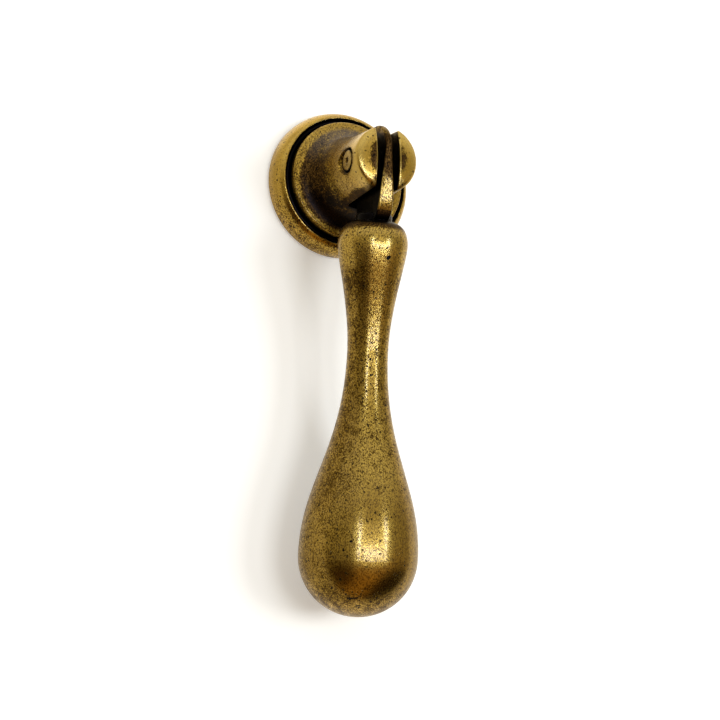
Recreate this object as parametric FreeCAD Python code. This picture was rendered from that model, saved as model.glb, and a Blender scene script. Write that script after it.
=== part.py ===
import FreeCAD, Part
import math
import os

# Drop pull for a drawer or a small door, in millimetres.
# The drawer front is the plane Y = 0, the pull stands out along -Y, and +Z is up.
# The origin is the centre of the foot's back, on the fixing screw's axis.

# Foot: a round rosette with a quarter-round band, a narrow groove and a raised lip.
FOOT_RADIUS = 11.0
FOOT_EDGE = 0.9
FOOT_EDGE_ROUND = 0.25
BAND_WIDTH = 1.4
BAND_HEIGHT = 3.8
BAND_ROUND = 0.2
GROOVE_WIDTH = 0.75
GROOVE_DEPTH = 0.9
LIP_RISE = 1.0
LIP_ROUND = 0.3

# Post: a cove sweeps up from the lip into a slightly tapered stem with a domed face.
COVE_RISE = 4.8
PIVOT_RISE = 4.7
EAR_REACH = 3.45
FACE_RISE = 0.85
STEM_RADIUS = 5.18
HEAD_RADIUS = 4.72
HEAD_ROUND = 0.5
SLOT_EDGE_ROUND = 0.2

# Back of the foot: a tapped hole for the fixing screw and a shallow ring of relief.
SCREW_HOLE_RADIUS = 1.65
SCREW_HOLE_DEPTH = 5.5
SCREW_HOLE_CHAMFER = 0.3
DRILL_POINT_ANGLE = math.radians(118.0)
RELIEF_DEPTH = 1.0
RELIEF_BOSS_RADIUS = 4.2
RELIEF_RIM_WIDTH = 2.0

# Pivot pin: pressed through the two ears of the post.
PIN_RADIUS = 1.5
PIN_LENGTH = 9.4
PIN_END_ROUND = 0.25
PIN_DIMPLE_RADIUS = 0.5
PIN_DIMPLE_DEPTH = 0.35
PIN_SINK_WIDTH = 0.5
PIN_SINK_DEPTH = 0.6
PIN_RUNNING_CLEARANCE = 0.06

# Tongue of the drop: a round-topped strip that hangs between the ears, thin at its eye.
TONGUE_THICKNESS = 2.4
TONGUE_EYE_THICKNESS = 0.9
TONGUE_SIDE_CLEARANCE = 0.5
TONGUE_END_CLEARANCE = 0.4
TONGUE_TOP = 5.5
TONGUE_TOP_TURN = 2.0
TONGUE_HALF_WIDTH = 4.05
TONGUE_FOOT_TURN = 3.0
TONGUE_EDGE_ROUND = 0.3

# Body of the drop: the neck starts this far below the pivot, and each stretch follows the last.
NECK_TOP = 7.2
NECK_LENGTH = 1.1
DOME_LENGTH = 3.35
HOLLOW_LENGTH = 15.3
FLARE_LENGTH = 29.0
BULB_END_LENGTH = 8.5
NECK_ROUND = 0.5
NECK_RADIUS = 2.6
SHOULDER_RADIUS = 5.02
WAIST_RADIUS = 2.92
BULB_RADIUS = 8.5

# Fullness of a curve: the share of its stretch that it keeps along the tangent at an end.
ROUND_FULLNESS = 0.55
COVE_FOOT_FULLNESS = 0.65
COVE_STEM_FULLNESS = 0.65
TONGUE_CROWN_FULLNESS = 0.56
TONGUE_FOOT_FULLNESS = 0.60
TONGUE_HEEL_FULLNESS = 0.65
TONGUE_HEEL_RISE = 0.10
TONGUE_EYE_FULLNESS = 0.47
TONGUE_ROOT_FULLNESS = 0.42
DOME_FULLNESS = 0.61
DOME_RISE = 0.10
SHOULDER_FULLNESS = 0.15
WAIST_UPPER_FULLNESS = 0.42
WAIST_LOWER_FULLNESS = 0.49
BULB_UPPER_FULLNESS = 0.36
BULB_LOWER_FULLNESS = 0.555

TILT_LIMIT = math.radians(45.0)
TILT_STEPS = 50
OUTLINE_SAMPLES = 400
FULL_TURN = 360.0
NEARLY_EQUAL = 1e-4

ORIGIN = FreeCAD.Vector(0, 0, 0)
AXIS_X = FreeCAD.Vector(1, 0, 0)
AXIS_Y = FreeCAD.Vector(0, 1, 0)
AXIS_Z = FreeCAD.Vector(0, 0, 1)

LIP_HEIGHT = BAND_HEIGHT + LIP_RISE
COVE_TOP = LIP_HEIGHT + COVE_RISE
PIVOT_HEIGHT = COVE_TOP + PIVOT_RISE
HEAD_SHOULDER = PIVOT_HEIGHT + EAR_REACH
FACE_HEIGHT = HEAD_SHOULDER + FACE_RISE
PIVOT = FreeCAD.Vector(0, -PIVOT_HEIGHT, 0)
EYE_RADIUS = PIN_RADIUS + PIN_RUNNING_CLEARANCE
SLOT_WIDTH = TONGUE_THICKNESS + 2 * TONGUE_SIDE_CLEARANCE
SLOT_FLOOR = PIVOT_HEIGHT - TONGUE_TOP - TONGUE_END_CLEARANCE
NECK_DROP = NECK_TOP + NECK_LENGTH
SHOULDER_DROP = NECK_DROP + DOME_LENGTH
WAIST_DROP = SHOULDER_DROP + HOLLOW_LENGTH
BULB_DROP = WAIST_DROP + FLARE_LENGTH
DROP_LENGTH = BULB_DROP + BULB_END_LENGTH


def between(start, end, share):
    return start + share * (end - start)


def post_point(radius, height):
    """A point of the post's outline: its radius, and its height above the drawer front."""
    return FreeCAD.Vector(0, -height, radius)


def drop_point(radius, drop):
    """A point of the drop's outline: its radius, and its distance below the pivot."""
    return FreeCAD.Vector(radius, 0, -drop)


def side_point(reach, drop):
    """A point of the tongue's side outline: its reach to the front, and its distance below the pivot."""
    return FreeCAD.Vector(0, -reach, -drop)


def mirrored(point):
    """A point's mirror image on the other side of the YZ plane."""
    return FreeCAD.Vector(-point.x, point.y, point.z)


def line(start, end):
    return Part.LineSegment(start, end).toShape()


def arc(start, middle, end):
    return Part.Arc(start, middle, end).toShape()


def curve(*poles):
    bezier = Part.BezierCurve()
    bezier.setPoles(list(poles))
    return bezier.toShape()


def turned(outline, axis):
    """A solid of revolution from the edges of a closed outline."""
    return Part.Face(Part.Wire(outline)).revolve(ORIGIN, axis, FULL_TURN)


def drawn_out(outline, travel):
    """A solid from the edges of a closed outline, drawn out to both sides along a travel."""
    wire = Part.Wire(Part.sortEdges(outline)[0])
    face = Part.Face(wire)
    face.translate(-travel / 2)
    return face.extrude(travel)


def cross_rod(radius, length):
    """A rod along X, centred on the pivot."""
    start = PIVOT - AXIS_X * (length / 2)
    return Part.makeCylinder(radius, length, start, AXIS_X)


def block(half_width, depth_from, depth_to, half_height):
    """A block centred on the YZ plane, between two heights above the drawer front."""
    corner = FreeCAD.Vector(-half_width, -depth_to, -half_height)
    return Part.makeBox(2 * half_width, depth_to - depth_from, 2 * half_height, corner)


def ring_edges(solid, places):
    """The round edges of a turned post that pass through the given outline points."""
    found = []
    for edge in solid.Edges:
        if not edge.Degenerated and isinstance(edge.Curve, Part.Circle):
            place = post_point(edge.Curve.Radius, -edge.Curve.Center.y)
            if min(place.distanceToPoint(other) for other in places) < NEARLY_EQUAL:
                found.append(edge)
    return found


def edges_across(solid, x):
    """The edges of a solid that lie in the plane at one X."""
    found = []
    for edge in solid.Edges:
        box = edge.BoundBox
        if max(abs(box.XMin - x), abs(box.XMax - x)) < NEARLY_EQUAL:
            found.append(edge)
    return found


def turned_post():
    """The foot and the stem as they come off the lathe, before the slot and the holes."""
    rim_radius = FOOT_RADIUS - BAND_WIDTH
    lip_radius = rim_radius - GROOVE_WIDTH
    groove_side = BAND_HEIGHT - GROOVE_DEPTH + GROOVE_WIDTH / 2
    groove_middle = post_point(rim_radius - GROOVE_WIDTH / 2, BAND_HEIGHT - GROOVE_DEPTH)
    stem_taper = (STEM_RADIUS - HEAD_RADIUS) / (HEAD_SHOULDER - COVE_TOP)
    stem_run = COVE_STEM_FULLNESS * COVE_RISE
    face_radius = (HEAD_RADIUS ** 2 + FACE_RISE ** 2) / (2 * FACE_RISE)
    face_middle_drop = face_radius - math.sqrt(face_radius ** 2 - (HEAD_RADIUS / 2) ** 2)

    back = post_point(0, 0)
    foot_edge = post_point(FOOT_RADIUS, 0)
    band_foot = post_point(FOOT_RADIUS, FOOT_EDGE)
    rim = post_point(rim_radius, BAND_HEIGHT)
    groove_outer = post_point(rim_radius, groove_side)
    groove_inner = post_point(lip_radius, groove_side)
    lip = post_point(lip_radius, LIP_HEIGHT)
    stem = post_point(STEM_RADIUS, COVE_TOP)
    head = post_point(HEAD_RADIUS, HEAD_SHOULDER)
    face_middle = post_point(HEAD_RADIUS / 2, FACE_HEIGHT - face_middle_drop)
    face = post_point(0, FACE_HEIGHT)

    band = curve(
        band_foot,
        post_point(FOOT_RADIUS, between(FOOT_EDGE, BAND_HEIGHT, ROUND_FULLNESS)),
        post_point(between(rim_radius, FOOT_RADIUS, 1 - ROUND_FULLNESS), BAND_HEIGHT),
        rim,
    )
    cove = curve(
        lip,
        post_point(between(lip_radius, STEM_RADIUS, COVE_FOOT_FULLNESS), LIP_HEIGHT),
        post_point(STEM_RADIUS + stem_taper * stem_run, COVE_TOP - stem_run),
        stem,
    )
    outline = [
        line(back, foot_edge),
        line(foot_edge, band_foot),
        band,
        line(rim, groove_outer),
        arc(groove_outer, groove_middle, groove_inner),
        line(groove_inner, lip),
        cove,
        line(stem, head),
        arc(head, face_middle, face),
        line(face, back),
    ]
    post = turned(outline, AXIS_Y)
    post = post.makeFillet(FOOT_EDGE_ROUND, ring_edges(post, [foot_edge]))
    post = post.makeFillet(BAND_ROUND, ring_edges(post, [rim]))
    post = post.makeFillet(LIP_ROUND, ring_edges(post, [lip]))
    return post.makeFillet(HEAD_ROUND, ring_edges(post, [head]))


def screw_hole():
    """The tapped hole at its core size, with a drill point and a chamfered mouth."""
    point_depth = SCREW_HOLE_RADIUS / math.tan(DRILL_POINT_ANGLE / 2)
    mouth_radius = SCREW_HOLE_RADIUS + SCREW_HOLE_CHAMFER
    outline = [
        post_point(0, 0),
        post_point(mouth_radius, 0),
        post_point(SCREW_HOLE_RADIUS, SCREW_HOLE_CHAMFER),
        post_point(SCREW_HOLE_RADIUS, SCREW_HOLE_DEPTH),
        post_point(0, SCREW_HOLE_DEPTH + point_depth),
    ]
    return turned(Part.makePolygon(outline + outline[:1]).Edges, AXIS_Y)


def back_relief():
    """The shallow ring that lets the foot bear on its rim and its middle boss."""
    outer = Part.makeCylinder(FOOT_RADIUS - RELIEF_RIM_WIDTH, RELIEF_DEPTH, ORIGIN, -AXIS_Y)
    boss = Part.makeCylinder(RELIEF_BOSS_RADIUS, RELIEF_DEPTH, ORIGIN, -AXIS_Y)
    return outer.cut(boss)


def pin_sink(side):
    """The countersink round one end of the pin, on the left (-1) or the right (1) ear."""
    start = PIVOT + AXIS_X * side * (PIN_LENGTH / 2 - PIN_SINK_DEPTH)
    outer_radius = PIN_RADIUS + 2 * PIN_SINK_WIDTH
    return Part.makeCone(PIN_RADIUS, outer_radius, 2 * PIN_SINK_DEPTH, start, AXIS_X * side)


def rosette_post():
    """Foot and post, cast in one: slotted for the tongue, bored for the pin, tapped at the back."""
    post = turned_post()
    post = post.cut(block(SLOT_WIDTH / 2, SLOT_FLOOR, FACE_HEIGHT + HEAD_RADIUS, FOOT_RADIUS))
    walls = edges_across(post, -SLOT_WIDTH / 2) + edges_across(post, SLOT_WIDTH / 2)
    rims = [edge for edge in walls if edge.BoundBox.YMin < -SLOT_FLOOR - NEARLY_EQUAL]
    post = post.makeFillet(SLOT_EDGE_ROUND, rims)
    post = post.cut(cross_rod(PIN_RADIUS, 2 * FOOT_RADIUS))
    for side in (-1, 1):
        post = post.cut(pin_sink(side))
    return post.cut(screw_hole()).cut(back_relief())


def pivot_pin():
    """A plain pin with rounded ends and a centre mark in each."""
    pin = cross_rod(PIN_RADIUS, PIN_LENGTH)
    ends = [PIN_LENGTH / 2, -PIN_LENGTH / 2]
    rims = [edge for x in ends for edge in edges_across(pin, x)]
    pin = pin.makeFillet(PIN_END_ROUND, rims)
    for x in ends:
        inward = -AXIS_X if x > 0 else AXIS_X
        centre = PIVOT + AXIS_X * x
        pin = pin.cut(Part.makeCone(PIN_DIMPLE_RADIUS, 0, PIN_DIMPLE_DEPTH, centre, inward))
    return pin


def tongue_side(reach):
    """Half the tongue's outline seen from the side, towards the front (1) or the back (-1)."""
    half_width = reach * TONGUE_HALF_WIDTH
    heel_width = reach * NECK_RADIUS
    top = side_point(0, -TONGUE_TOP)
    turn = side_point(half_width, -TONGUE_TOP_TURN)
    foot = side_point(half_width, TONGUE_FOOT_TURN)
    heel = side_point(heel_width, NECK_DROP)
    crown = curve(
        top,
        side_point(half_width * TONGUE_CROWN_FULLNESS, -TONGUE_TOP),
        side_point(half_width, between(-TONGUE_TOP_TURN, -TONGUE_TOP, TONGUE_CROWN_FULLNESS)),
        turn,
    )
    underside = curve(
        foot,
        side_point(half_width, between(TONGUE_FOOT_TURN, NECK_DROP, TONGUE_FOOT_FULLNESS)),
        side_point(
            between(heel_width, half_width, TONGUE_HEEL_FULLNESS),
            between(NECK_DROP, TONGUE_FOOT_TURN, TONGUE_HEEL_RISE),
        ),
        heel,
    )
    return [crown, line(turn, foot), underside]


def tongue_flank(side):
    """The tongue's left (-1) or right (1) face seen from the front, flaring from the eye to the neck."""
    eye_half = side * TONGUE_EYE_THICKNESS / 2
    root_half = side * TONGUE_THICKNESS / 2
    return curve(
        drop_point(eye_half, -TONGUE_TOP),
        drop_point(eye_half, between(-TONGUE_TOP, NECK_DROP, TONGUE_EYE_FULLNESS)),
        drop_point(root_half, between(NECK_DROP, -TONGUE_TOP, TONGUE_ROOT_FULLNESS)),
        drop_point(root_half, NECK_DROP),
    )


def tongue():
    """The tongue: its side outline and its front outline, each drawn out straight, where they meet."""
    heel = line(side_point(NECK_RADIUS, NECK_DROP), side_point(-NECK_RADIUS, NECK_DROP))
    root = drop_point(TONGUE_THICKNESS / 2, NECK_DROP)
    crest = drop_point(TONGUE_EYE_THICKNESS / 2, -TONGUE_TOP)
    front_edges = [
        tongue_flank(1),
        line(root, mirrored(root)),
        tongue_flank(-1),
        line(mirrored(crest), crest),
    ]
    side = drawn_out([*tongue_side(1), heel, *tongue_side(-1)], AXIS_X * TONGUE_THICKNESS)
    front = drawn_out(front_edges, AXIS_Y * 2 * TONGUE_HALF_WIDTH)
    plate = side.common(front)
    rims = []
    for edge in plate.Edges:
        box = edge.BoundBox
        one_sided = box.XMin > NEARLY_EQUAL or box.XMax < -NEARLY_EQUAL
        if one_sided and box.ZMax > -NECK_DROP + NEARLY_EQUAL:
            rims.append(edge)
    return plate.makeFillet(TONGUE_EDGE_ROUND, rims)


def bulb_curves():
    """The long hollow from the shoulder to the waist, and the bulb with its full round end."""
    upper = (SHOULDER_DROP, WAIST_DROP)
    lower = (WAIST_DROP, BULB_DROP)
    end = (BULB_DROP, DROP_LENGTH)
    return [
        curve(
            drop_point(SHOULDER_RADIUS, SHOULDER_DROP),
            drop_point(SHOULDER_RADIUS, between(*upper, SHOULDER_FULLNESS)),
            drop_point(WAIST_RADIUS, between(*upper, 1 - WAIST_UPPER_FULLNESS)),
            drop_point(WAIST_RADIUS, WAIST_DROP),
        ),
        curve(
            drop_point(WAIST_RADIUS, WAIST_DROP),
            drop_point(WAIST_RADIUS, between(*lower, WAIST_LOWER_FULLNESS)),
            drop_point(BULB_RADIUS, between(*lower, 1 - BULB_UPPER_FULLNESS)),
            drop_point(BULB_RADIUS, BULB_DROP),
        ),
        curve(
            drop_point(BULB_RADIUS, BULB_DROP),
            drop_point(BULB_RADIUS, between(*end, BULB_LOWER_FULLNESS)),
            drop_point(BULB_RADIUS * BULB_LOWER_FULLNESS, DROP_LENGTH),
            drop_point(0, DROP_LENGTH),
        ),
    ]


def drop_body():
    """The turned body: a short neck, a domed shoulder, a slim waist and the bulb."""
    neck_centre = drop_point(0, NECK_TOP)
    neck_rim = drop_point(NECK_RADIUS - NECK_ROUND, NECK_TOP)
    neck_corner = drop_point(NECK_RADIUS, NECK_TOP)
    neck_side = drop_point(NECK_RADIUS, NECK_TOP + NECK_ROUND)
    neck_foot = drop_point(NECK_RADIUS, NECK_DROP)
    shoulder = drop_point(SHOULDER_RADIUS, SHOULDER_DROP)
    dome = curve(
        neck_foot,
        drop_point(
            between(NECK_RADIUS, SHOULDER_RADIUS, DOME_FULLNESS),
            between(NECK_DROP, SHOULDER_DROP, DOME_RISE),
        ),
        drop_point(SHOULDER_RADIUS, between(SHOULDER_DROP, NECK_DROP, DOME_FULLNESS)),
        shoulder,
    )
    outline = [
        line(neck_centre, neck_rim),
        curve(neck_rim, neck_corner, neck_side),
        line(neck_side, neck_foot),
        dome,
        *bulb_curves(),
        line(drop_point(0, DROP_LENGTH), neck_centre),
    ]
    return turned(outline, AXIS_Z)


def rest_tilt():
    """How far the drop leans in from plumb before its bulb touches the drawer front."""
    outline = [point for edge in bulb_curves() for point in edge.discretize(OUTLINE_SAMPLES)]
    low, high = -TILT_LIMIT, TILT_LIMIT
    for _ in range(TILT_STEPS):
        tilt = (low + high) / 2
        reach = max(p.x * math.cos(tilt) - p.z * math.sin(tilt) for p in outline)
        if reach < PIVOT_HEIGHT:
            low = tilt
        else:
            high = tilt
    return tilt


def drop():
    """Tongue and body, cast in one, hung on the pivot with the bulb against the drawer front."""
    eye_length = 2 * TONGUE_HALF_WIDTH
    eye = Part.makeCylinder(EYE_RADIUS, eye_length, -AXIS_X * (eye_length / 2), AXIS_X)
    piece = drop_body().fuse(tongue()).cut(eye)
    piece.rotate(ORIGIN, AXIS_X, math.degrees(rest_tilt()))
    piece.translate(PIVOT)
    return piece


def export(node, shape):
    shape.Solids[0].exportStep(os.path.join("parts", node + ".step"))


os.makedirs("parts", exist_ok=True)
export("rosette_post", rosette_post())
export("pivot_pin", pivot_pin())
export("drop", drop())
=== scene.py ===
import math
from types import SimpleNamespace

import bpy
from mathutils import Matrix, Vector

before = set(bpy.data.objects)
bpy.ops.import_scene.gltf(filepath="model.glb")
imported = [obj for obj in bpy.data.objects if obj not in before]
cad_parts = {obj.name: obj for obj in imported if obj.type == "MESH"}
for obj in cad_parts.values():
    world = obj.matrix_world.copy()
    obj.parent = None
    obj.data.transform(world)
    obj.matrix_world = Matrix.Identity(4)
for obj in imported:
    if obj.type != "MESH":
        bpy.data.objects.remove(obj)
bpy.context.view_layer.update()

MM = 0.001

# The camera, fitted to the photograph: its place, its turn to the right, its rise and its roll.
CAMERA_AT = Vector((-0.090798, -0.202216, -0.058607))
CAMERA_TURN = math.radians(25.166)
CAMERA_RISE = math.radians(8.2485)
CAMERA_ROLL = math.radians(0.196)
CAMERA_LENS = 75.0
CAMERA_SENSOR = 36.0
CAMERA_NEAREST = 0.005
CAMERA_FARTHEST = 20.0

# Sizes of the part in millimetres, as in its source.
FOOT_RADIUS = 11.0
BAND_WIDTH = 1.4
GROOVE_WIDTH = 0.75
LIP_HEIGHT = 4.8
PIVOT_HEIGHT = 14.3
FACE_HEIGHT = 18.6
HEAD_RADIUS = 4.72
SLOT_HALF_WIDTH = 1.7
SLOT_FLOOR = 8.4
SCREW_HOLE_RADIUS = 1.65
SCREW_HOLE_DEPTH = 5.5
PIN_RADIUS = 1.5
PIN_DIMPLE_RADIUS = 0.5
PIN_SINK_RADIUS = 2.0
NECK_TOP = 7.2
NECK_DROP = 8.3
DROP_TILT = math.radians(5.95)
GROOVE_OUTSIDE = FOOT_RADIUS - BAND_WIDTH
GROOVE_INSIDE = GROOVE_OUTSIDE - GROOVE_WIDTH

# The thread in the fixing hole, in millimetres.
THREAD_PITCH = 0.7
THREAD_DEPTH = 0.35

# The drop's largest casting pits and two scratches. Each end is given by its radius from the drop's axis,
# its turn in degrees from the front to the right, and its distance below the pivot. Half the width follows.
CAST_MARKS = (
    ((4.72, 3.0, 13.94), (4.72, 4.9, 13.80), 0.28),
    ((2.94, -16.8, 28.17), (2.92, -15.9, 28.10), 0.17),
    ((2.98, -16.8, 29.23), (2.98, -16.8, 29.40), 0.11),
    ((3.02, -10.5, 30.34), (3.02, -13.8, 30.40), 0.15),
    ((8.38, -32.8, 53.33), (8.37, -31.7, 53.30), 0.16),
    ((8.46, -38.9, 54.60), (8.46, -38.9, 54.40), 0.11),
    ((6.70, -34.5, 61.19), (6.79, -23.4, 61.07), 0.14),
    ((5.67, -24.6, 62.29), (5.79, -19.3, 62.19), 0.12),
)

# Colours of the brass and of what lies on it. Each piece's gold lies between a dull one and a bright one.
POST_GOLDS = ((0.555, 0.335, 0.036, 1), (0.650, 0.415, 0.056, 1))
PIN_GOLDS = ((0.520, 0.340, 0.070, 1), (0.600, 0.410, 0.100, 1))
DROP_GOLDS = ((0.405, 0.243, 0.025, 1), (0.500, 0.313, 0.039, 1))
# Paler gold painted where the drop's highlights fall.
PAINTED_HIGHLIGHT_GOLD = (0.720, 0.475, 0.075, 1)
# Paler gold where the brass is worn, also painted as glints and highlights.
WORN_AND_GLINT_GOLD = (0.700, 0.490, 0.120, 1)
GRAZED_TINT = (0.95, 0.92, 0.86, 1)
FLECK_BROWN = (0.115, 0.058, 0.007, 1)
PORE_BROWN = (0.050, 0.024, 0.004, 1)
# Dirt colours, which also paint the shade where the shape functions ask for it.
SOIL_AND_SHADE_BROWN = (0.082, 0.041, 0.006, 1)
CRUST_AND_SHADE_DARK = (0.012, 0.006, 0.002, 1)
CRUST_AND_SHADE_LIGHT = (0.135, 0.070, 0.017, 1)
# A painted sheen: grey for the cove's upper side, where it mirrors the bright ceiling.
PAINTED_SHEEN_GREY = (0.122, 0.084, 0.043, 1)
PATINA_BLACK = (0.006, 0.005, 0.005, 1)

# How rough each kind of surface is, and how strong the clear coat is on it.
DARK_FLECK_ROUGHNESS = 0.29
GOLD_ROUGHNESS = 0.25
SPECK_ROUGHNESS = 0.36
SOIL_AND_SHADE_ROUGHNESS = 0.52
WORN_AND_GLINT_ROUGHNESS = 0.22
PATINA_ROUGHNESS = 0.34
COAT_ROUGHNESS = 0.17
COAT_IOR = 2.2
GOLD_COAT = 0.19
# The coat is stronger where the sheen is painted.
SHEEN_COAT = 0.4

# Heights of the surface's fine relief in millimetres, and the radii that its edges are worn to.
FLECK_RELIEF = 0.004
MOTTLE_RELIEF = 0.012
CLOUD_RELIEF = 0.06
DOT_DEPTH = 0.05
POST_EDGE_WEAR = 0.10
HEAD_RIM_WEAR = 1.1
PIN_EDGE_WEAR = 0.05
DROP_EDGE_WEAR = 0.12

# What a piece shows where its own function says nothing else.
PLAIN_LOOKS = dict(rubbed=0.0, pale=0.0, film=0.0, matt=0.0, calm=0.0, pitted=0.0, relief=0.0)

# The drawer front, in metres. The brass mirrors it in other tints than the camera sees: painted shade,
# darker to the left and to the right of the foot.
WALL_HALF_SIZE = 1.5
WALL_GAP = 0.0002
WALL_PAINT = (0.835, 0.862, 0.884, 1)
MIRRORED_LEFT_SHADE = (0.60, 0.585, 0.48, 1)
MIRRORED_MIDDLE = (0.95, 0.95, 0.93, 1)
MIRRORED_RIGHT_SHADE = (0.80, 0.79, 0.73, 1)
LEFT_TINT_END = (-0.0135, -0.0085)
RIGHT_TINT_START = (0.012, 0.040)

# The wall's own light: for the camera it grows with the distance from the foot, and the brass mirrors
# more of it in a strip behind the foot.
NEAR_LIFT = 0.34
FAR_LIFT = 1.0
LIFT_GROWTH = (0.12, 0.30)
MIRRORED_LIFT = 0.10
MIRRORED_STRIP_LIFT = 0.30
MIRRORED_STRIP = (-0.012, 0.004)
MIRRORED_STRIP_SOFTNESS = 0.003

# The room that the brass mirrors: its colours, and the directions of its two dark corners.
FLOOR_COLOUR = (0.45, 0.25, 0.06, 1)
HORIZON_COLOUR = (0.42, 0.37, 0.22, 1)
CEILING_COLOUR = (0.92, 0.92, 0.905, 1)
LEFT_CORNER = (-0.82, -0.39, -0.42)
LEFT_CORNER_COLOUR = (0.050, 0.018, 0.005, 1)
RIGHT_CORNER = (0.66, -0.17, -0.73)
RIGHT_CORNER_COLOUR = (0.012, 0.004, 0.002, 1)
WHITE = (1, 1, 1, 1)

# The place that every lamp points at, in metres, and the lamps' colours.
LAMP_TARGET = Vector((0.0, -0.010, -0.040))
PLAIN_LIGHT = (1, 1, 1)
STRIP_LIGHT = (0.82, 1.00, 1.60)
WINDOW_LIGHT = (1.0, 0.98, 0.90)


class Nodes:
    """Short names for the shader nodes of one material or world."""

    def __init__(self, tree):
        self.tree = tree
        self.tree.nodes.clear()

    def add(self, kind, inputs=(), **settings):
        node = self.tree.nodes.new(kind)
        for key, value in settings.items():
            setattr(node, key, value)
        for key, value in dict(inputs).items():
            self.feed(node.inputs[key], value)
        return node

    def feed(self, socket, value):
        if isinstance(value, bpy.types.NodeSocket):
            self.tree.links.new(value, socket)
        else:
            socket.default_value = value

    def math(self, operation, *values, clamp=False):
        node = self.add("ShaderNodeMath", dict(enumerate(values)), operation=operation, use_clamp=clamp)
        return node.outputs[0]

    def chain(self, operation, values):
        """All the values, joined one after the other by the same operation."""
        result = values[0]
        for value in values[1:]:
            result = self.math(operation, result, value)
        return result

    def plus(self, *values):
        return self.chain("ADD", values)

    def minus(self, first, second):
        return self.math("SUBTRACT", first, second)

    def times(self, *values):
        return self.chain("MULTIPLY", values)

    def most(self, *values):
        return self.chain("MAXIMUM", values)

    def distance(self, first, second):
        """The length of a vector with these two parts."""
        return self.math("SQRT", self.plus(self.math("POWER", first, 2.0), self.math("POWER", second, 2.0)))

    def vector(self, operation, *values):
        node = self.add("ShaderNodeVectorMath", dict(enumerate(values)), operation=operation)
        return node.outputs["Value"] if operation in ("LENGTH", "DOT_PRODUCT") else node.outputs[0]

    def parts(self, vector):
        """The three parts of a vector."""
        return self.add("ShaderNodeSeparateXYZ", {0: vector}).outputs[:3]

    def smooth(self, value, low, high, out_low=0.0, out_high=1.0):
        """A soft step: out_low where the value is below low, out_high where it is above high."""
        levels = {"Value": value, "From Min": low, "From Max": high, "To Min": out_low, "To Max": out_high}
        return self.add("ShaderNodeMapRange", levels, interpolation_type="SMOOTHSTEP").outputs[0]

    def fade(self, value, low, high, full=1.0):
        """A soft step down to nothing: full where the value is below low."""
        return self.smooth(value, low, high, full, 0.0)

    def window(self, value, low, high, soft):
        """One between low and high, fading to nothing over soft on each side."""
        rise = self.smooth(value, low - soft, low + soft)
        fall = self.fade(value, high - soft, high + soft)
        return self.times(rise, fall)

    def noise(self, place, scale, detail, roughness, distortion=0.0):
        inputs = {
            "Vector": place,
            "Scale": scale,
            "Detail": detail,
            "Roughness": roughness,
            "Distortion": distortion,
        }
        return self.add("ShaderNodeTexNoise", inputs).outputs["Fac"]

    def shaken(self, place, scale, reach):
        """A place that a noise moves about, so that what is drawn by it gets an uneven outline."""
        noise = self.add("ShaderNodeTexNoise", {"Vector": place, "Scale": scale, "Detail": 1.0})
        shift = self.vector("SUBTRACT", noise.outputs["Color"], (0.5, 0.5, 0.5))
        return self.vector("ADD", place, self.vector("MULTIPLY", shift, (reach, reach, reach)))

    def mix(self, share, first, second):
        """A colour between two others."""
        node = self.add("ShaderNodeMix", {0: share, 6: first, 7: second}, data_type="RGBA")
        return node.outputs[2]

    def blend(self, share, first, second):
        """A number between two others."""
        node = self.add("ShaderNodeMix", {0: share, 2: first, 3: second}, data_type="FLOAT")
        return node.outputs[0]


def surface_place(n):
    """The place on the surface in millimetres, its parts, where it faces and the mottle there."""
    coords = n.add("ShaderNodeTexCoord").outputs
    place = n.vector("MULTIPLY", coords["Object"], (1 / MM, 1 / MM, 1 / MM))
    x, y, z = n.parts(place)
    mottle = n.noise(place, scale=0.85, detail=5.0, roughness=0.62, distortion=0.2)
    uneven = n.minus(mottle, 0.5)
    return SimpleNamespace(place=place, x=x, y=y, z=z, normal=coords["Normal"], mottle=mottle, uneven=uneven)


def speckle(n, place):
    """A fine grain, a little drawn out along the height, with still finer dust in it."""
    drawn = n.vector("MULTIPLY", place, (1.0, 1.0, 0.65))
    grain = n.noise(drawn, scale=6.2, detail=3.0, roughness=0.65, distortion=0.3)
    dust = n.noise(place, scale=11.0, detail=2.0, roughness=0.6)
    return n.plus(n.times(grain, 0.75), n.times(dust, 0.25))


def spots(n, place, bias, scale, lots, sizes, soft):
    """Scattered round spots. Their lots give their sizes, and a higher bias makes them larger."""
    cells = n.add("ShaderNodeTexVoronoi", {"Vector": place, "Scale": scale, "Randomness": 1.0})
    lot = n.add("ShaderNodeSeparateColor", {0: cells.outputs["Color"]}).outputs[0]
    size = n.smooth(n.plus(lot, bias), *lots, *sizes)
    return n.smooth(n.minus(size, cells.outputs["Distance"]), 0.0, soft)


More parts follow.
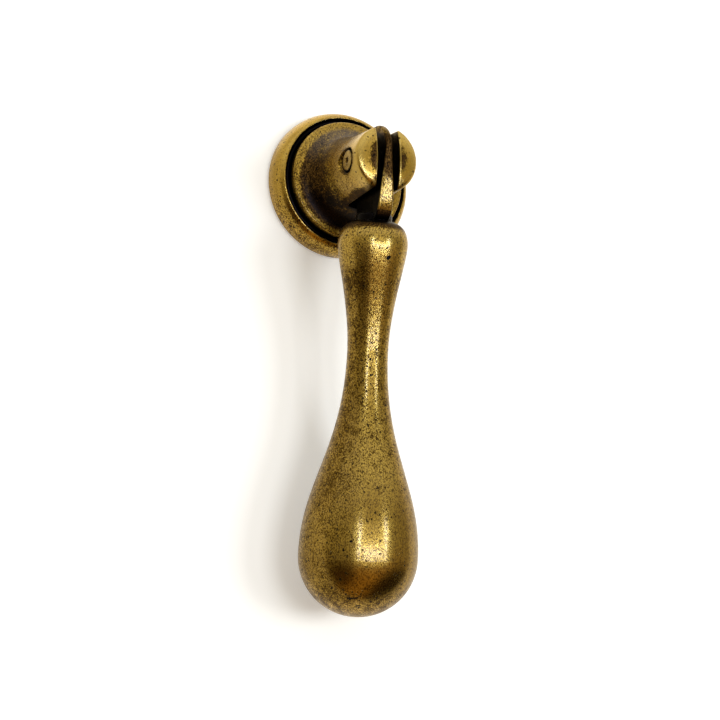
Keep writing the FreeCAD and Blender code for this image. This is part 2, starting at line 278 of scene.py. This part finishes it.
def brass_pattern(n, at, looks):
    """How cloudy, flecked, specked, dotted and porous the brass is, how much dirt and painted shade lie on
    it, and how dark its patina is.
    """
    cloud = n.noise(at.place, scale=0.16, detail=3.0, roughness=0.55)
    fleck = speckle(n, at.place)

    soiled_and_shaded = n.plus(looks.grime, n.times(at.uneven, n.blend(looks.grime, 1.0, 1.1)))
    speck_level = n.smooth(soiled_and_shaded, -0.35, 1.15, 0.32, 0.74)
    speck = n.smooth(n.minus(speck_level, fleck), -0.065, 0.065)
    speck = n.times(speck, n.blend(looks.rubbed, 1.0, 0.45))

    shaken = n.shaken(at.place, scale=2.2, reach=0.5)
    dot = spots(n, shaken, looks.pitted, scale=1.7, lots=(0.40, 1.0), sizes=(0.03, 0.29), soft=0.035)
    pore_bias = n.plus(n.times(soiled_and_shaded, 0.35), looks.pitted)
    pore = spots(n, shaken, pore_bias, scale=3.3, lots=(0.45, 1.05), sizes=(0.0, 0.36), soft=0.06)
    pore = n.times(pore, n.blend(looks.rubbed, 0.85, 0.35))
    dark = n.most(looks.black, n.times(dot, 0.86))
    return SimpleNamespace(
        cloud=cloud,
        fleck=fleck,
        soiled_and_shaded=soiled_and_shaded,
        speck=speck,
        dot=dot,
        pore=pore,
        dark=dark,
    )


def brass_colour(n, looks, pattern, golds):
    """From the gold up: paler gold painted as highlight, flecks, pores, worn metal and painted glints, dirt
    and painted shade, painted sheen and black patina.
    """
    gold = n.mix(n.smooth(pattern.cloud, 0.36, 0.66), *golds)
    # Paler gold painted as highlight.
    gold = n.mix(looks.pale, gold, PAINTED_HIGHLIGHT_GOLD)
    flecked = n.fade(pattern.fleck, 0.40, 0.57, n.blend(looks.calm, 0.90, 0.45))
    gold = n.mix(flecked, gold, FLECK_BROWN)
    gold = n.mix(pattern.pore, gold, PORE_BROWN)
    # Worn gold, also painted as glints on edges and as highlights.
    gold = n.mix(n.times(looks.rubbed, 0.75), gold, WORN_AND_GLINT_GOLD)
    # Dirt and crust, which also paint the shade and dark reflections that the shape functions ask for.
    crust_and_shade = n.mix(n.smooth(pattern.fleck, 0.45, 0.57), CRUST_AND_SHADE_DARK, CRUST_AND_SHADE_LIGHT)
    soil_and_shade = n.mix(n.smooth(pattern.soiled_and_shaded, 0.20, 0.85), SOIL_AND_SHADE_BROWN, crust_and_shade)
    brown = n.mix(pattern.speck, gold, soil_and_shade)
    # Painted sheen: grey over the cove's upper side.
    brown = n.mix(n.times(looks.film, 0.7), brown, PAINTED_SHEEN_GREY)
    return n.mix(pattern.dark, brown, PATINA_BLACK)


def brass_roughness(n, looks, pattern):
    clean = n.smooth(pattern.fleck, 0.40, 0.60, DARK_FLECK_ROUGHNESS, GOLD_ROUGHNESS)
    rough = n.blend(pattern.speck, clean, SPECK_ROUGHNESS)
    matt = n.most(looks.matt, n.smooth(pattern.soiled_and_shaded, 0.25, 0.9))
    rough = n.blend(matt, rough, SOIL_AND_SHADE_ROUGHNESS)
    rough = n.blend(looks.rubbed, rough, WORN_AND_GLINT_ROUGHNESS)
    return n.blend(pattern.dark, rough, PATINA_ROUGHNESS)


def brass_coat(n, looks, pattern):
    """A thin clear coat, on clean gold, and stronger where the sheen is painted."""
    covered = n.most(pattern.dark, pattern.speck, n.smooth(pattern.soiled_and_shaded, 0.2, 0.7))
    return n.most(n.blend(covered, GOLD_COAT, 0.0), n.times(looks.film, SHEEN_COAT))


def brass_relief(n, at, looks, pattern):
    """The direction the surface faces, with its fine relief and its worn edges."""
    height = n.plus(
        n.times(n.minus(pattern.fleck, n.times(pattern.speck, 0.2)), FLECK_RELIEF),
        n.times(at.mottle, MOTTLE_RELIEF),
        n.times(pattern.cloud, CLOUD_RELIEF),
        n.times(pattern.dot, -DOT_DEPTH),
        looks.relief,
    )
    rounded = n.add("ShaderNodeBevel", {"Radius": n.times(looks.worn, MM)}, samples=8).outputs[0]
    bump = {"Height": height, "Distance": MM, "Strength": 1.0, "Normal": rounded}
    return n.add("ShaderNodeBump", bump).outputs[0]


def antique_brass(name, shape, golds):
    """Brass between two golds, with patina and wear where its shape function says."""
    material = bpy.data.materials.new(name)
    material.use_nodes = True
    n = Nodes(material.node_tree)
    at = surface_place(n)
    looks = SimpleNamespace(**{**PLAIN_LOOKS, **shape(n, at)})
    pattern = brass_pattern(n, at, looks)
    normal = brass_relief(n, at, looks, pattern)
    surface = n.add(
        "ShaderNodeBsdfPrincipled",
        {
            "Base Color": brass_colour(n, looks, pattern, golds),
            "Metallic": 1.0,
            "Specular Tint": GRAZED_TINT,
            "Roughness": brass_roughness(n, looks, pattern),
            "Normal": normal,
            "Coat Weight": brass_coat(n, looks, pattern),
            "Coat Normal": normal,
            "Coat Roughness": COAT_ROUGHNESS,
            "Coat IOR": COAT_IOR,
        },
    )
    n.add("ShaderNodeOutputMaterial", {"Surface": surface.outputs[0]})
    return material


def measure_post(n, at):
    """Adds the measures that the post's zones are drawn by, in millimetres, and two zones used twice."""
    at.height = n.times(at.y, -1.0)
    at.radius = n.distance(at.x, at.z)
    at.across = n.math("ABSOLUTE", at.x)
    at.ragged = n.plus(at.radius, n.times(at.uneven, 0.25))
    at.lower_left = n.plus(n.times(at.x, -0.45), n.times(at.z, -0.90))
    at.from_pin = n.distance(n.minus(at.height, PIVOT_HEIGHT), at.z)
    at.ear_side = n.smooth(at.across, 3.0, 3.4)
    at.band = n.smooth(at.radius, GROOVE_OUTSIDE + 0.1, GROOVE_OUTSIDE + 0.4)


def post_black(n, at):
    """Black in the groove, the slot, the pin's sinks and the lower left of the cove."""
    groove = n.window(at.ragged, GROOVE_INSIDE - 0.19, GROOVE_OUTSIDE + 0.16, 0.06)
    lip_wall = n.times(
        n.fade(at.radius, GROOVE_INSIDE + 0.05, GROOVE_INSIDE + 0.15),
        n.smooth(at.height, LIP_HEIGHT - 1.3, LIP_HEIGHT - 0.5),
    )
    groove = n.times(groove, n.smooth(at.height, 1.4, 2.0), n.minus(1.0, lip_wall))
    slot = n.times(
        n.fade(at.across, SLOT_HALF_WIDTH - 0.01, SLOT_HALF_WIDTH + 0.04),
        n.smooth(at.height, SLOT_FLOOR - 0.9, SLOT_FLOOR - 0.2),
    )
    sink = n.times(n.fade(at.from_pin, PIN_SINK_RADIUS - 0.26, PIN_SINK_RADIUS - 0.04), at.ear_side)
    pool = n.times(
        n.smooth(n.plus(at.lower_left, n.times(at.uneven, 8.0)), 3.4, 5.8, 0.0, 0.92),
        n.fade(at.ragged, 7.4, 8.1),
        n.smooth(at.height, LIP_HEIGHT - 1.3, LIP_HEIGHT - 0.8),
        n.smooth(at.height, 7.0, 11.0, 1.0, 0.2),
    )
    return n.most(groove, slot, sink, pool)


def post_grime_and_shade(n, at, calm):
    """Dirt in the cove, heavier towards its lower left, on the ears' faces and round the pin; darker at the
    foot's outer edge by the wall and below the slot; painted shade on the lower left of the lip and of the
    band.
    """
    lip_start = n.minus(at.ragged, n.smooth(at.lower_left, 1.0, 6.0, 0.0, 0.45))
    cove = n.times(
        n.smooth(lip_start, 7.2, 8.1, 1.0, 0.15),
        n.smooth(at.height, 5.6, 11.0, 1.0, 0.18),
        n.smooth(at.lower_left, -5.0, 4.0, 0.52, 0.92),
    )
    face = n.times(
        n.fade(at.radius, 2.3, 3.6, 1.15),
        n.smooth(at.height, FACE_HEIGHT - 1.0, FACE_HEIGHT - 0.6),
        n.smooth(at.x, -1.0, 1.0, 1.0, 0.72),
    )
    ring = n.times(n.fade(at.from_pin, PIN_SINK_RADIUS - 0.1, PIN_SINK_RADIUS + 0.6, 0.55), at.ear_side)
    edge = n.times(
        n.fade(at.height, 0.8, 1.8, 0.25),
        n.smooth(at.radius, FOOT_RADIUS - 1.2, FOOT_RADIUS - 0.6),
    )
    # Painted shade: the lip is darker on its lower left.
    lip = n.times(n.window(at.radius, 7.7, 9.2, 0.2), n.smooth(at.lower_left, -2.0, 6.0, 0.05, 0.34))
    slot_side = n.times(
        n.fade(at.across, SLOT_HALF_WIDTH + 0.2, SLOT_HALF_WIDTH + 2.3),
        n.fade(at.z, -3.8, -1.6),
        n.smooth(at.height, SLOT_FLOOR - 1.9, SLOT_FLOOR + 0.1),
    )
    # Painted shade: the band is darker on its lower left.
    low_band = n.times(at.band, n.smooth(at.lower_left, 6.0, 10.0, 0.0, 0.32))
    return n.plus(n.most(cove, face, ring, edge, lip, slot_side, low_band), n.times(calm, -0.22))


def post_wear_and_glints(n, at):
    """Worn on the head's rim; worn with a painted glint along the slot's edges; a painted glint on the
    band's inner edge at the lower left; worn and paler on the ears, partly as a painted highlight.
    """
    rim = n.times(
        n.window(at.radius, HEAD_RADIUS - 0.52, HEAD_RADIUS + 0.18, 0.12),
        n.smooth(at.height, FACE_HEIGHT - 1.4, FACE_HEIGHT - 1.0, 0.0, 0.4),
    )
    # Worn, with a painted glint along the slot's edges.
    slot_edge_glint = n.times(
        n.window(at.across, SLOT_HALF_WIDTH + 0.03, SLOT_HALF_WIDTH + 0.23, 0.04),
        n.smooth(at.height, SLOT_FLOOR + 0.1, SLOT_FLOOR + 1.1),
    )
    # A painted glint along the band's inner edge, on the lower left only.
    band_glint = n.times(
        n.window(at.radius, GROOVE_OUTSIDE + 0.14, GROOVE_OUTSIDE + 0.26, 0.04),
        n.smooth(at.lower_left, 2.0, 6.0),
    )
    # The ears are paler, partly as a painted highlight.
    ears = n.times(
        n.smooth(at.height, PIVOT_HEIGHT + 0.2, PIVOT_HEIGHT + 2.2),
        n.smooth(at.radius, 3.4, 4.2, 0.0, 0.65),
    )
    return n.most(rim, slot_edge_glint, band_glint, ears)


def post_painted_sheen(n, at):
    """A painted sheen: grey painted over the upper side of the cove, where it mirrors the bright ceiling."""
    return n.times(
        n.fade(at.lower_left, -6.0, 3.0, 0.75),
        n.fade(at.height, PIVOT_HEIGHT + 0.2, PIVOT_HEIGHT + 3.2),
        n.smooth(at.z, 0.0, 3.5),
        n.fade(at.radius, 7.4, 8.2),
    )


def post_wear(n, at):
    """The rim of the head is worn rounder than the other edges."""
    head_rim = n.times(n.smooth(at.height, 15.5, 17.0), n.smooth(at.radius, 3.2, 3.9))
    return n.blend(head_rim, POST_EDGE_WEAR, HEAD_RIM_WEAR)


def thread_relief(n, at):
    """The thread in the fixing hole, which is in the back."""
    turn = n.math("DIVIDE", n.math("ARCTAN2", at.z, at.x), 2.0 * math.pi)
    wave = n.math("PINGPONG", n.plus(n.math("DIVIDE", at.height, THREAD_PITCH), turn), 0.5)
    tapped = n.times(
        n.fade(at.radius, SCREW_HOLE_RADIUS + 0.01, SCREW_HOLE_RADIUS + 0.07),
        n.fade(at.height, SCREW_HOLE_DEPTH - 0.3, SCREW_HOLE_DEPTH - 0.1),
    )
    return n.times(wave, tapped, THREAD_DEPTH * 2.0)


def post_shape(n, at):
    measure_post(n, at)
    # The band has fewer flecks and less dirt except on its lower left, where it is darker as painted shade.
    clean_band = n.times(at.band, n.fade(at.lower_left, 6.0, 9.0))
    calm = n.most(n.smooth(at.height, 13.0, 16.0), clean_band)
    return dict(
        black=post_black(n, at),
        grime=post_grime_and_shade(n, at, calm),
        rubbed=post_wear_and_glints(n, at),
        film=post_painted_sheen(n, at),
        matt=n.times(n.window(at.radius, 7.6, 9.2, 0.2), n.smooth(at.lower_left, 0.0, 5.0)),
        calm=calm,
        worn=post_wear(n, at),
        relief=thread_relief(n, at),
    )


def pin_shape(n, at):
    """Black round the rim, grimy in the centre mark and a little worn between."""
    from_axis = n.distance(n.plus(at.y, PIVOT_HEIGHT), at.z)
    return dict(
        black=n.smooth(from_axis, PIN_RADIUS - 0.16, PIN_RADIUS - 0.02),
        grime=n.fade(from_axis, PIN_DIMPLE_RADIUS - 0.14, PIN_DIMPLE_RADIUS + 0.04, 0.8),
        rubbed=n.times(n.window(from_axis, PIN_DIMPLE_RADIUS + 0.1, PIN_RADIUS - 0.3, 0.1), 0.3),
        worn=PIN_EDGE_WEAR,
    )


def measure_drop(n, at):
    """Adds the drop's own place in millimetres from the pivot, as if it hung straight, and how it faces."""
    hung = n.vector("ADD", at.place, (0.0, PIVOT_HEIGHT, 0.0))
    lean = {"Vector": hung, "Angle": -DROP_TILT}
    at.own = n.add("ShaderNodeVectorRotate", lean, rotation_type="X_AXIS").outputs[0]
    at.depth, own_height = n.parts(at.own)[1:]
    at.down = n.times(own_height, -1.0)
    at.ragged = n.plus(at.down, n.times(at.uneven, 0.9))
    at.facing, outward = n.parts(at.normal)[:2]
    at.sideways = n.math("ABSOLUTE", at.facing)
    at.front_side = n.fade(outward, -0.95, -0.70)


def drop_point(radius, turn, down):
    """A point on the drop in its own millimetres from the pivot."""
    angle = math.radians(turn)
    return Vector((radius * math.sin(angle), -radius * math.cos(angle), -down))


def cast_marks(n, at):
    """The largest casting pits and two scratches: every place near enough to one of their lines."""
    wavy = n.shaken(at.own, scale=3.0, reach=0.14)
    marks = []
    for start, end, half_width in CAST_MARKS:
        along = drop_point(*end) - drop_point(*start)
        offset = n.vector("SUBTRACT", wavy, drop_point(*start))
        share = n.math("DIVIDE", n.vector("DOT_PRODUCT", offset, along), along.length_squared, clamp=True)
        nearest = n.add("ShaderNodeVectorMath", {0: along, "Scale": share}, operation="SCALE").outputs[0]
        away = n.vector("LENGTH", n.vector("SUBTRACT", offset, nearest))
        marks.append(n.fade(away, half_width * 0.75, half_width * 1.25))
    return n.most(*marks)


def drop_black(n, at):
    """Black on the tongue's flanks, round the neck and in the casting marks."""
    in_slot = n.most(n.fade(n.distance(at.depth, at.down), 4.3, 4.8), n.smooth(at.down, 0.0, 1.5))
    above_neck = n.fade(at.down, NECK_TOP + 0.4, NECK_TOP + 1.0)
    flank = n.times(n.smooth(at.sideways, 0.72, 0.88), above_neck, in_slot)
    front = n.times(n.fade(at.depth, -2.9, -2.4), n.fade(at.sideways, 0.3, 0.5))
    neck = n.times(
        n.smooth(at.down, NECK_TOP - 0.2, n.blend(front, NECK_TOP + 0.1, NECK_TOP + 1.0)),
        n.fade(at.ragged, NECK_DROP + 0.4, NECK_DROP + 0.8),
    )
    return n.most(flank, neck, cast_marks(n, at))


def drop_grime_and_shade(n, at):
    """Darker towards the tongue's top; dirt on the neck, the dome and the waist; darker at the tip and less
    dark on the bulb's front; painted shade on the left side and a painted dark reflection on the sides of
    the hollow.
    """
    past_tongue = n.smooth(at.down, NECK_TOP - 0.2, NECK_TOP + 0.8)
    tongue_top = n.smooth(at.down, -4.2, -2.6, 0.45, 0.85)
    tongue = n.times(n.blend(n.smooth(at.down, 0.6, 3.4), tongue_top, 0.22), n.minus(1.0, past_tongue))
    dome = n.times(past_tongue, n.fade(at.ragged, NECK_DROP + 0.6, NECK_DROP + 2.1, 0.9))
    waist = n.times(n.smooth(at.down, 12.0, 19.0, 0.08, 0.24), n.smooth(at.down, 44.0, 56.0, 1.0, 0.6))
    # A painted dark reflection: brown on the sides of the hollow, where the darker room below is mirrored.
    hollow = n.times(n.window(at.ragged, 15.2, 19.5, 1.8), n.smooth(at.sideways, 0.20, 0.65, 0.15, 0.40))
    neck = n.times(n.window(at.down, NECK_TOP - 0.2, NECK_DROP + 0.7, 0.12), 0.9)
    # Painted shade: darker on the drop's left side.
    left_painted_shade = n.times(n.fade(at.facing, -0.85, -0.35, 0.08), n.smooth(at.down, 14.0, 22.0))
    tip = n.smooth(at.down, 58.0, 62.0, 0.0, 0.22)
    handled = n.times(at.front_side, n.smooth(at.down, 40.0, 50.0), -0.16)
    return n.plus(n.most(tongue, dome, waist, hollow, neck), left_painted_shade, tip, handled)


def drop_painted_highlight(n, at):
    """Paler gold painted as highlight on the shoulder, the front of the flare and the waist's right side."""
    shoulder = n.times(n.window(at.ragged, 10.0, 15.0, 1.0), 0.75)
    flare = n.times(at.front_side, n.window(at.down, 33.0, 46.0, 4.0), 0.60)
    right_side = n.times(n.window(at.down, 12.0, 32.0, 3.0), n.smooth(at.facing, -0.3, 0.5, 0.0, 0.55))
    return n.most(shoulder, flare, right_side)


def drop_shape(n, at):
    measure_drop(n, at)
    # The tongue's edges are worn paler, partly as painted highlights where they catch the light.
    tongue_edge_highlights = n.times(n.window(at.down, 1.5, 6.8, 0.8), n.smooth(at.sideways, 0.25, 0.6))
    return dict(
        black=drop_black(n, at),
        grime=drop_grime_and_shade(n, at),
        rubbed=tongue_edge_highlights,
        pale=drop_painted_highlight(n, at),
        pitted=n.smooth(at.down, 30.0, 42.0, 0.16, 0.05),
        worn=DROP_EDGE_WEAR,
    )


def add_camera():
    forward = Vector((
        math.sin(CAMERA_TURN) * math.cos(CAMERA_RISE),
        math.cos(CAMERA_TURN) * math.cos(CAMERA_RISE),
        math.sin(CAMERA_RISE),
    ))
    level = Vector((math.cos(CAMERA_TURN), -math.sin(CAMERA_TURN), 0.0))
    upright = level.cross(forward)
    right = level * math.cos(CAMERA_ROLL) + upright * math.sin(CAMERA_ROLL)
    up = upright * math.cos(CAMERA_ROLL) - level * math.sin(CAMERA_ROLL)
    data = bpy.data.cameras.new("camera")
    data.lens = CAMERA_LENS
    data.sensor_width = CAMERA_SENSOR
    data.clip_start = CAMERA_NEAREST
    data.clip_end = CAMERA_FARTHEST
    camera = bpy.data.objects.new("camera", data)
    turned = Matrix((right, up, -forward)).transposed().to_4x4()
    camera.matrix_world = Matrix.Translation(CAMERA_AT) @ turned
    bpy.context.scene.collection.objects.link(camera)
    bpy.context.scene.camera = camera


def wall_paint():
    """Pale paint with some light of its own, and painted shade to the left and right of the foot that only
    the brass mirrors. From behind it is clear.
    """
    material = bpy.data.materials.new("wall")
    material.use_nodes = True
    n = Nodes(material.node_tree)
    path = n.add("ShaderNodeLightPath").outputs
    geometry = n.add("ShaderNodeNewGeometry").outputs
    spot = geometry["Position"]
    across = n.parts(spot)[0]

    # Painted shade: mirrored, the wall is darker to the left and to the right of the foot.
    tint = n.mix(n.smooth(across, *LEFT_TINT_END), MIRRORED_LEFT_SHADE, MIRRORED_MIDDLE)
    tint = n.mix(n.smooth(across, *RIGHT_TINT_START), tint, MIRRORED_RIGHT_SHADE)
    tint = n.mix(path["Is Glossy Ray"], WALL_PAINT, tint)
    paint = n.add("ShaderNodeBsdfDiffuse", {"Color": tint}).outputs[0]

    seen = n.smooth(n.vector("LENGTH", spot), *LIFT_GROWTH, NEAR_LIFT, FAR_LIFT)
    strip = n.window(across, *MIRRORED_STRIP, MIRRORED_STRIP_SOFTNESS)
    mirrored = n.blend(strip, MIRRORED_LIFT, MIRRORED_STRIP_LIFT)
    strength = n.plus(n.times(path["Is Camera Ray"], seen), n.times(path["Is Glossy Ray"], mirrored))
    lift = n.add("ShaderNodeEmission", {"Color": WHITE, "Strength": strength}).outputs[0]

    front = n.add("ShaderNodeAddShader", {0: paint, 1: lift}).outputs[0]
    clear = n.add("ShaderNodeBsdfTransparent").outputs[0]
    sided = n.add("ShaderNodeMixShader", {0: geometry["Backfacing"], 1: front, 2: clear})
    n.add("ShaderNodeOutputMaterial", {"Surface": sided.outputs[0]})
    return material


def add_wall():
    """The drawer front that the pull is shown on."""
    half = WALL_HALF_SIZE
    corners = [(x, WALL_GAP, z) for x, z in ((-half, -half), (half, -half), (half, half), (-half, half))]
    mesh = bpy.data.meshes.new("wall")
    mesh.from_pydata(corners, [], [(0, 1, 2, 3)])
    mesh.materials.append(wall_paint())
    wall = bpy.data.objects.new("wall", mesh)
    bpy.context.scene.collection.objects.link(wall)


def add_world():
    """A room with a warm floor and two dark corners, mirrored in the brass. The camera sees only white."""
    world = bpy.data.worlds.new("studio")
    world.use_nodes = True
    n = Nodes(world.node_tree)
    path = n.add("ShaderNodeLightPath").outputs
    aim = n.add("ShaderNodeTexCoord").outputs["Generated"]
    rise = n.parts(aim)[2]
    left = n.smooth(n.vector("DOT_PRODUCT", aim, LEFT_CORNER), 0.76, 0.95)
    right = n.smooth(n.vector("DOT_PRODUCT", aim, RIGHT_CORNER), 0.70, 0.90)
    under = n.mix(left, FLOOR_COLOUR, LEFT_CORNER_COLOUR)
    under = n.mix(right, under, RIGHT_CORNER_COLOUR)
    low = n.mix(n.smooth(rise, -0.40, 0.05), under, HORIZON_COLOUR)
    room = n.mix(n.smooth(rise, 0.1, 0.7), low, CEILING_COLOUR)
    mirrored = n.add("ShaderNodeBackground", {"Color": room, "Strength": 1.0}).outputs[0]
    white = n.add("ShaderNodeBackground", {"Color": WHITE, "Strength": 1.0}).outputs[0]
    straight = n.most(path["Is Camera Ray"], path["Is Transmission Ray"])
    mixed = n.add("ShaderNodeMixShader", {0: straight, 1: mirrored, 2: white})
    n.add("ShaderNodeOutputWorld", {"Surface": mixed.outputs[0]})
    bpy.context.scene.world = world


def around(azimuth, elevation, reach):
    """A point about the lamps' target: azimuth 0 is straight out from the wall and turns to the right."""
    turn = math.radians(azimuth)
    lift = math.radians(elevation)
    level = math.cos(lift)
    return LAMP_TARGET + reach * Vector((math.sin(turn) * level, -math.cos(turn) * level, math.sin(lift)))


def add_lamp(name, at, width, height, power, colour):
    data = bpy.data.lights.new(name, "AREA")
    data.shape = "RECTANGLE"
    data.size = width
    data.size_y = height
    data.energy = power
    data.color = colour
    lamp = bpy.data.objects.new(name, data)
    lamp.location = at
    lamp.rotation_euler = (LAMP_TARGET - at).to_track_quat("-Z", "Y").to_euler()
    bpy.context.scene.collection.objects.link(lamp)
    return lamp


def add_shadow_lamp(name, azimuth, elevation, reach, size, power):
    """A square lamp that lights the wall and casts the shadow, but isn't mirrored in the brass."""
    lamp = add_lamp(name, around(azimuth, elevation, reach), size, size, power, PLAIN_LIGHT)
    lamp.visible_glossy = False


def add_soft_box(name, azimuth, elevation, reach, width, height, radiance, colour=STRIP_LIGHT):
    """A lamp that is mirrored in the brass, but doesn't light the wall."""
    power = radiance * math.pi * width * height
    lamp = add_lamp(name, around(azimuth, elevation, reach), width, height, power, colour)
    lamp.visible_diffuse = False


for node_name, brass in (
    ("rosette_post", antique_brass("post_brass", post_shape, POST_GOLDS)),
    ("pivot_pin", antique_brass("pin_brass", pin_shape, PIN_GOLDS)),
    ("drop", antique_brass("drop_brass", drop_shape, DROP_GOLDS)),
):
    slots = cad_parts[node_name].data.materials
    slots.clear()
    slots.append(brass)

add_camera()
add_wall()
add_world()

# Angles are in degrees, lengths in metres and power in watts. A soft box's power follows from its radiance.
add_shadow_lamp("key", azimuth=32.0, elevation=1.0, reach=1.0, size=0.30, power=3.45)
add_soft_box("left_arm", azimuth=-23.0, elevation=1.0, reach=0.60, width=0.04, height=0.22, radiance=14.5)
add_soft_box("right_arm", azimuth=28.0, elevation=1.0, reach=0.60, width=0.04, height=0.22, radiance=14.5)
add_soft_box("low_strip", azimuth=3.0, elevation=-7.5, reach=0.60, width=0.42, height=0.038, radiance=12.5)
add_soft_box(
    "window",
    azimuth=2.0,
    elevation=1.0,
    reach=0.62,
    width=0.48,
    height=0.22,
    radiance=0.65,
    colour=WINDOW_LIGHT,
)
add_shadow_lamp("fill", azimuth=7.0, elevation=2.0, reach=1.0, size=0.34, power=2.95)

bpy.context.scene.view_settings.view_transform = "Standard"
